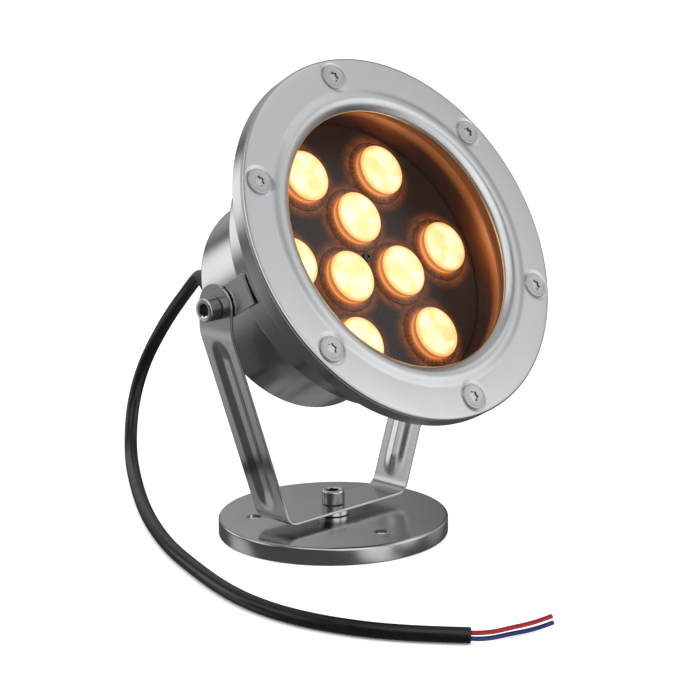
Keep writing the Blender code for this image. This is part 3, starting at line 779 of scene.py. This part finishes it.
def groove(y, s, start, end):
    """How far the pressed groove sinks: a trough with a soft edge, a flat floor and round ends."""
    along = min(s - start, end - s)
    if along <= 0:
        return 0.0
    into = min(along / GROOVE_HALF, 1.0)
    edge = GROOVE_HALF * math.sqrt(into * (2 - into))
    share = min(abs(y) / max(edge, 1e-6), 1.0)
    wall = min(1.0, (1 - share) / 0.8)
    depth = wall * wall * (3 - 2 * wall)
    return GROOVE_DEPTH * depth * min(1.0, along / (1.5 * GROOVE_HALF))


def strip_section(half, s, start, end):
    """The sheet's cross section as (across, inward) points: outer face, rounded edge, inner face, rounded edge."""
    edge = min(0.35 * MM, half * 0.4)
    flat = half - edge
    outer = [(flat * k / 20, groove(flat * k / 20, s, start, end)) for k in range(-20, 21)]
    inner = [(y, sunk + YOKE_SHEET) for y, sunk in reversed(outer)]
    turns = [math.pi / 2 * k / 4 for k in range(1, 4)]
    near = [(flat + edge * math.sin(a), edge * (1 - math.cos(a))) for a in turns] + [(half, edge)]
    far = [(y, YOKE_SHEET - sunk) for y, sunk in reversed(near)]
    right = near + far
    left = [(-y, YOKE_SHEET - sunk) for y, sunk in right]
    return outer + right + inner + left


def yoke_strip(look):
    """One bent strip: flat foot, splayed arms with a pressed groove, and upright round ends."""
    line = strip_line()
    rows, total, lengths = resampled(line, MM)
    radius = YOKE_W / 2
    foot_bend_ends, arm_bend_starts = lengths[BEND_STEPS + 1], lengths[BEND_STEPS + 2]
    groove_start, groove_end = foot_bend_ends + 2 * MM, arm_bend_starts - MM
    half_strip = []
    for point, along, s in rows:
        past = max(0.0, s - (total - radius)) / radius
        half = max(radius * math.sqrt(max(1 - past * past, 0.0)), 0.04 * radius)
        inward = Vector((-along.y, along.x))
        section = strip_section(half, s, groove_start, groove_end)
        half_strip.append([(point + inward * sunk, y) for y, sunk in section])
    bm = bmesh.new()
    loops = [[bm.verts.new((-p.x, y, p.y)) for p, y in row] for row in reversed(half_strip[1:])]
    loops += [[bm.verts.new((p.x, y, p.y)) for p, y in row] for row in half_strip]
    count = len(loops[0])
    for low, high in zip(loops, loops[1:]):
        for k in range(count):
            n = (k + 1) % count
            bm.faces.new((low[k], high[k], high[n], low[n]))
    bm.faces.new(loops[0])
    bm.faces.new(list(reversed(loops[-1])))
    bmesh.ops.recalc_face_normals(bm, faces=bm.faces)
    strip = scene_object("yoke_strip", to_mesh("yoke_strip", bm), BASE)
    foot_hole = hole(BOLT_HOLE_R, 0, 0, YOKE_FLOOR)
    cut(strip, foot_hole, cross_hole(-YOKE_ARM_X, PIVOT.z), cross_hole(YOKE_ARM_X, PIVOT.z))
    strip.data.shade_smooth()
    strip.data.set_sharp_from_angle(angle=math.radians(50))
    piece(strip, "yoke", "stainless", look, "yoke")


def tilt_hardware(looks):
    """A socket head bolt outside each arm; inside it a bracket plate and its nut."""
    inner, outer = 63.6 * MM, 64.7 * MM
    seat = YOKE_ARM_X + 0.3 * MM
    length = seat - inner + 6.5 * MM
    for label, side in (("left", -1), ("right", 1)):
        outward = Matrix.Translation(PIVOT) @ Matrix.Rotation(side * math.pi / 2, 4, "Y")
        cap_screw("tilt_screw_" + label, outward @ Matrix.Translation((0, 0, seat)), length, "yoke", looks,
                  "tilt_bolt_" + label)
        bracket(label, side, inner, outer, looks["bracket"])
        sideways = TILTED @ Matrix.Rotation(side * math.pi / 2, 4, "Y")
        hex_nut("tilt_lock_nut_" + label, M6_NUT_R, inner - 5.0 * MM, inner - 0.3 * MM, M6_NUT_BORE, sideways,
                "head", looks["bright"], "tilt_nut_" + label)


def bracket(label, side, inner, outer, look):
    """A flat plate welded to the drum that reaches back to the tilt axis, where its end is round."""
    half, reach = 6.9 * MM, 21.2 * MM
    outline = [(reach, -half), (reach, half)]
    outline += [(half * math.cos(a), half * math.sin(a)) for a in np.linspace(math.pi / 2, 3 * math.pi / 2, 33)]
    plate = prism("bracket_" + label, outline, inner, outer)
    # the outline's first axis looks ahead and its second across; the prism's height runs out from the drum
    to_side = Matrix(((0, 0, side, 0), (0, 1, 0, 0), (1, 0, 0, 0), (0, 0, 0, 1)))
    made = scene_object("bracket_" + label, plate, TILTED)
    made.data.transform(to_side)
    if side > 0:
        made.data.flip_normals()
    cut(made, cross_hole(side * inner))
    softened(made, 0.25 * MM, 2)
    piece(made, "head", "stainless", look, "tilt_bracket_" + label)


# --- Head

DIMPLE_OUTER = 6.9 * MM
DIMPLE_INNER = 5.6 * MM
DIMPLE_DEPTH = 0.4 * MM
GLAND_HOLE_R = 6.3 * MM
GLAND_UP = 18 * MM                 # the gland's axis, above the head's own
LENS_TURN = 2.4                    # radians from one lens to the next, so that no two glow alike


def dimple(radius, angle):
    """How far the ring's face is pressed in round the nearest screw."""
    nearest = min(abs((angle - a + math.pi) % (2 * math.pi) - math.pi) for a in SCREW_ANGLES)
    away = math.hypot(radius * math.cos(nearest) - SCREW_CIRCLE, radius * math.sin(nearest))
    share = min(max((DIMPLE_OUTER - away) / (DIMPLE_OUTER - DIMPLE_INNER), 0.0), 1.0)
    return DIMPLE_DEPTH * share * share * (3 - 2 * share)


def front_ring(look):
    """The clamping ring: a soft crest round the window, a flat with six dimples, and a rolled outer edge."""
    crest = [(57.4, -2.1), (57.7, -1.6), (58.4, -1.0), (59.0, -0.5), (59.8, 0.1), (60.6, 0.45), (61.4, 0.65),
             (62.2, 0.74), (63.0, 0.75), (64.0, 0.62), (65.0, 0.4), (66.0, 0.15), (67.0, 0.02)]
    crown, steps = 0.36, 24
    flat = [(67.0 + 0.5 * k, 0.02 - crown * (k / steps) ** 2) for k in range(1, steps + 1)]
    edge = [(79.5, -0.38), (79.95, -0.43), (80.35, -0.54), (80.68, -0.72), (80.9, -0.95), (81.0, -1.2),
            (81.0, -1.4), (80.85, -1.5)]
    under = [(60.2, -1.5), (59.7, -2.0), (59.3, -3.0), (59.0, -3.4), (57.6, -3.4), (57.4, -3.2)]
    profile = [(r * MM, z * MM) for r, z in crest + flat + edge + under]
    top_rows = len(crest) + len(flat) + 2

    def press(radius, angle, row):
        return dimple(radius, angle) if row < top_rows else 0.0

    ring = scene_object("bezel_ring", lathe("bezel_ring", profile, 720, True, press), HEAD)
    ring.data.shade_smooth()
    piece(ring, "head", "stainless", look, "front_ring")


def ring_screws(looks):
    """Six low screws with a raised rim and a lobed recess, and the nuts behind the flange."""
    head_r, top, seat, dish = 5.5 * MM, 0.22 * MM, -0.7 * MM, 0.12 * MM
    shank, tip, recess_r, recess_depth = 2.5 * MM, -8.2 * MM, 2.35 * MM, 1.2 * MM
    for number, angle in enumerate(SCREW_ANGLES, 1):
        at = HEAD @ Matrix.Translation((SCREW_CIRCLE * math.cos(angle), SCREW_CIRCLE * math.sin(angle), 0))
        corners = [
            (0, top - dish, 0), (head_r - 1.1 * MM, top - dish, 0.1 * MM), (head_r - 0.9 * MM, top, 0.1 * MM),
            (head_r, top, 0.35 * MM), (head_r, seat, 0.2 * MM), (shank, seat, 0), (shank, tip, 0.4 * MM),
            (0, tip, 0),
        ]
        turn = Matrix.Rotation(angle * 3.7 + 0.4, 4, "Z")
        screw = scene_object(f"bezel_screw_{number}", lathe("bezel_screw", rounded(corners, 4, False), 64, False),
                             at @ turn)
        recess = prism("recess", lobes(recess_r, 0.6 * MM), -recess_depth, 0.2 * MM)
        cut(screw, (recess, Matrix.Translation((0, 0, top))))
        edged(screw)
        piece(screw, "head", "bright_screws", [looks["screw"], looks["sunk"]], f"ring_screw_{number}")
        # painted shade: the faces inside the lobed recess take the dark sunk look
        for face in screw.data.polygons:
            inside = math.hypot(face.center.x, face.center.y) < recess_r + 0.01 * MM
            face.material_index = 1 if inside and -recess_depth < face.center.z < top - 0.2 * MM else 0
        hex_nut(f"bezel_nut_{number}", M5_NUT_R, -7.2 * MM, -3.6 * MM, M5_NUT_BORE,
                at @ Matrix.Rotation(angle, 4, "Z"), "head", looks["bright"], f"ring_nut_{number}")


def housing(looks):
    """The drawn shell in one piece: turned flange, glass pocket, drum and rear can, with its lit inner wall."""
    outer = [
        (RING_R, -1.85, 0.35), (RING_R, -8.0, 0.5), (79.5, -8.0, 0.5), (79.5, -3.3, 0.4), (68.0, -3.3, 0.6),
        (68.0, -13.1, 1.2), (DRUM_R, -13.1, 0.8), (DRUM_R, -36.3, 1.2), (CAN_R, -36.3, 0.8), (CAN_R, -78.5, 1.8),
        (0, -78.5, 0),
    ]
    inner = [
        (0, -77.0, 0), (47.3, -77.0, 1.0), (47.3, -34.8, 0.3), (61.7, -34.8, 0.8), (61.7, -11.6, 0.3),
        (66.5, -11.6, 0.3), (66.5, -1.85, 0.3),
    ]
    corners = [(r if r in (RING_R, DRUM_R, CAN_R) else r * MM, z * MM, c * MM) for r, z, c in outer + inner]
    shell = scene_object("housing_shell", lathe("housing_shell", rounded(corners, 4), 180), HEAD)
    bore = prism("bore", polygon(GLAND_HOLE_R, 48), -80 * MM, -75 * MM)
    cut(shell, (bore, Matrix.Translation((0, GLAND_UP, 0))))
    shaded(shell)
    piece(shell, "head", "stainless", [looks["shell"], looks["lit_wall"]], "housing")
    for face in shell.data.polygons:
        # lit from inside: the drum's wall ahead of the step, and the wall and floor of the glass pocket
        depth, side = -face.center.z / MM, math.hypot(face.center.x, face.center.y) / MM
        drum_wall = 11.4 < depth < 35 and 61 < side < 62.5
        pocket = 2 < depth < 11.7 and 62 < side < 67.2
        face.material_index = 1 if drum_wall or pocket else 0


def window(looks):
    """The glass and the seals on both its faces."""
    corners = [(0, -4.5, 0), (66.0, -4.5, 0.5), (66.0, -10.5, 0.5), (0, -10.5, 0)]
    pane = spun("window_pane", corners, HEAD, 3, 128, False)
    piece(shaded(pane), "head", "clear_glass", looks["pane"], "glass")
    for name, low, high, inside, node_name in (
        ("window_seal_front", -4.2, -1.85, 60.8, "front_gasket"),
        ("window_seal_rear", -11.3, -10.8, 62.4, "rear_gasket"),
    ):
        corners = [(inside, high, 0.2), (66.0, high, 0.2), (66.0, low, 0.2), (inside, low, 0.2)]
        piece(shaded(spun(name, corners, HEAD, 2, 96)), "head", "black_rubber", looks["lit_seal"], node_name)


def lens_mesh(name):
    """A low collimator lens: nearly flat face, round wall, and a hollow over the emitter."""
    corners = [
        (0, 0.15, 0), (8.0, 0.1, 6.0), (10.9, -0.1, 0.6), (11.3, -0.7, 0.4), (11.3, -2.6, 0.3), (11.0, -4.1, 0.2),
        (6.4, -4.1, 0.2), (5.4, -2.9, 0.4), (0, -2.9, 0),
    ]
    return lathe(name, scaled(corners, 4, False), 96, False)


def light_engine(looks):
    """The board and the nine lit lenses on their clear feet."""
    corners = [(0, -25.5, 0), (61.2, -25.5, 0.3), (61.2, -27.0, 0.3), (0, -27.0, 0)]
    piece(shaded(spun("circuit_board", corners, HEAD, 2, 128, False)), "head", "board", looks["board"], "led_board")
    for number, (radius, degrees) in enumerate(LED_SPOTS, 1):
        angle = math.radians(degrees)
        at = Matrix.Translation((radius * math.cos(angle), radius * math.sin(angle), -LENS_FRONT))
        turned = HEAD @ at @ Matrix.Rotation(LENS_TURN * number, 4, "Z")
        lens = scene_object(f"lit_lens_{number}", lens_mesh("lit_lens"), turned)
        piece(shaded(lens), "head", "lens_plastic", looks["lens"], f"lens_{number}")
        corners = [(10.6, -4.2, 0.2), (14.3, -4.3, 0.25), (14.5, -4.8, 0.1), (10.6, -4.8, 0.2)]
        foot = scene_object(f"lens_foot_{number}", lathe("lens_foot", scaled(corners, 3), 96), turned)
        piece(shaded(foot), "head", "lens_plastic", looks["foot"])


def gland(looks):
    """The cable gland on the rear plate: turned body and a cap nut with six flats; the seal that grips the cable
    stays the model's own part.
    """
    at = HEAD @ Matrix.Translation((0, GLAND_UP, 0))
    body = [
        (6.0, -68.0, 0.3), (6.0, -78.8, 0), (9.4, -78.8, 0.4), (9.4, -83.0, 0.4), (7.0, -83.0, 0),
        (7.0, -89.0, 0.3), (4.5, -89.0, 0.3), (4.5, -68.0, 0.3),
    ]
    piece(shaded(spun("gland_collar", body, at, 3, 72)), "head", "bright_screws", looks["bright"], "gland_body")
    nut = [
        (9.0, -83.3, 0.4), (9.0, -92.0, 0.8), (7.6, -96.0, 1.2), (6.2, -97.5, 0.5), (4.8, -97.5, 0.3),
        (4.8, -89.3, 0), (7.3, -89.3, 0), (7.3, -83.3, 0),
    ]
    made = spun("gland_cap", nut, at, 3, 72)
    flat, beyond, half = 8.35 * MM, 12 * MM, 6 * MM
    block = [(flat, -half), (beyond, -half), (beyond, half), (flat, half)]
    turns = [Matrix.Rotation(math.pi * k / 3, 4, "Z") for k in range(6)]
    cut(made, *[(prism("flat", block, -91 * MM, -82 * MM), turn) for turn in turns])
    softened(made, 0.15 * MM, 2)
    piece(made, "head", "bright_screws", looks["bright"], "gland_nut")


# --- Studio

# Soft panels of light: azimuth from +X and elevation in degrees, where each is full and where it ends, its level
PANELS = (
    (-112, 22, 8, 32, 1.25), (-92, -8, 4, 24, 0.85), (-56, 10, 8, 30, 1.0), (-38, 40, 8, 34, 0.50),
    (-28, 50, 4, 16, 0.45), (-150, 58, 10, 32, 1.1), (-12, 6, 8, 32, 0.35), (107, 9, 4, 20, 1.2),
    (136, 28, 4, 20, 1.0), (152, 14, 4, 18, 0.6), (118, -22, 4, 22, 0.5), (62, 12, 4, 26, 0.30),
    (-75, -32, 4, 18, 0.45), (60, 62, 15, 50, 0.40),
)


ROOM_LEVEL = 0.09                  # the light between the panels
FLOOR_DROP = 0.2 * MM              # keeps the floor's surface clear of what rests on it


def lobe(tree, direction, axis, inner, outer, level):
    """Light from round one direction, fading between two angles in degrees."""
    facing = node(tree, "VectorMath", {0: direction, 1: axis}, operation="DOT_PRODUCT")
    low, high = math.cos(math.radians(outer)), math.cos(math.radians(inner))
    return spread(tree, facing.outputs["Value"], low, high, 0, level, "SMOOTHSTEP")


def studio():
    """A dim room with soft panels, and a bright backdrop that only the camera sees."""
    world = bpy.data.worlds.new("studio")
    bpy.context.scene.world = world
    world.use_nodes = True
    tree = world.node_tree
    tree.nodes.clear()
    direction = node(tree, "TexCoord").outputs["Generated"]
    total = None
    for azimuth, elevation, inner, outer, level in PANELS:
        across = math.cos(math.radians(elevation))
        turn = math.radians(azimuth)
        axis = (across * math.cos(turn), across * math.sin(turn), math.sin(math.radians(elevation)))
        light = lobe(tree, direction, axis, inner, outer, level)
        total = light if total is None else math_node(tree, "ADD", total, light)
    strength = math_node(tree, "ADD", total, ROOM_LEVEL)
    room = node(tree, "Background", {"Color": (1, 1, 1, 1), "Strength": strength})
    backdrop = node(tree, "Background", {"Color": (1, 1, 1, 1), "Strength": 1.0})
    seen = node(tree, "LightPath").outputs["Is Camera Ray"]
    both = node(tree, "MixShader", {0: seen, 1: room.outputs[0], 2: backdrop.outputs[0]})
    out = node(tree, "OutputWorld", {"Surface": both.outputs[0]})
    out.is_active_output = True
    bpy.context.scene.view_settings.view_transform = "Standard"


def pale_floor():
    """A pale floor, a little lit by itself, and dark only in the narrow gaps under what rests on it."""
    slab = prism("floor", polygon(9.0, 48), -0.02, 0.0)
    floor = scene_object("floor", slab, Matrix.Translation((0, 0, -FLOOR_DROP)))
    floor.visible_glossy = False
    look, tree, shader = new_material("pale_floor", Roughness=0.9, Emission_Strength=0.85)
    paper = noise(tree, object_spot(tree), 30.0, 3.0)
    feed(shader, "Base Color", mixed(tree, paper, (0.80, 0.80, 0.80), (0.84, 0.84, 0.84)))
    shadow = node(tree, "AmbientOcclusion", {"Distance": 0.012}, samples=4)
    open_sky = spread(tree, shadow.outputs["AO"], 0.08, 0.45, 0, 1, "SMOOTHSTEP")
    feed(shader, "Emission Color", mixed(tree, open_sky, (0, 0, 0), (1, 1, 1)))
    floor.data.materials.append(look)


# --- The whole

def main():
    camera()
    cables()
    looks = {
        "base": steel("base_steel", 0.56, 0.20, "round", 0.07),
        "strip": steel("strip_steel", 0.58, 0.20, "y", 0.3),
        "ring": steel("ring_steel", 0.64, 0.30, "round", 0.15),
        "shell": steel("shell_steel", 0.58, 0.20, "round", 0.2),
        "bracket": steel("bracket_steel", 0.66, 0.25, "y", 0.2),
        "bright": steel("bright_steel", 0.70, 0.18, "round", 0.1, 0.06),
        "chrome": steel("chrome_steel", 0.75, 0.12, "round", 0.05, 0.04),
        # painted shade: darker copies of the steel for screw barrels and sockets, the ring screws' recesses and the
        # board's screw
        "shaded_barrel": steel("shaded_barrel_steel", 0.30, 0.30, "round", 0.1, 0.06),
        "sunk": steel("shaded_recess_steel", 0.10, 0.40, "round", 0.1, 0.06),
        "screw": steel("screw_steel", 0.54, 0.30, "round", 0.1, 0.08),
        "rubber": rubber("seal_rubber"),
        "pane": clear_pane("window_glass"),
        "lens": glowing_lens("lit_lens"),
        "foot": lens_foot_look("lens_foot"),
        "board": board_look("board_resist"),
        "lit_wall": lit_wall("lit_wall"),
        "lit_seal": lit_seal("lit_seal"),
        "alloy": steel("cast_alloy", 0.55, 0.45, "none", 0.4, 0.1, 900.0),
        "phosphor": painted("phosphor", (0.85, 0.62, 0.12), (0.75, 0.5, 0.08), 0.45, 900.0),
        "potting": painted("driver_resist", (0.02, 0.10, 0.04), (0.012, 0.06, 0.03), 0.4, 300.0),
    }
    base_disc(looks["base"])
    swivel_hardware(looks)
    yoke_strip(looks["strip"])
    tilt_hardware(looks)
    front_ring(looks["ring"])
    ring_screws(looks)
    housing(looks)
    window(looks)
    light_engine(looks)
    gland(looks)
    # the board's screw takes the sunk look: painted shade, deep inside the window
    carried = {"heat_sink": "alloy", "driver_board": "potting", "gland_seal": "rubber", "gland_locknut": "bright",
               "board_screw": "sunk"}
    carried.update({f"led_{k}": "phosphor" for k in range(1, 10)})
    for name, look in carried.items():
        node_object = frame["nodes"][name]
        node_object.data.materials.clear()
        node_object.data.materials.append(looks[look])
    studio()
    pale_floor()


main()
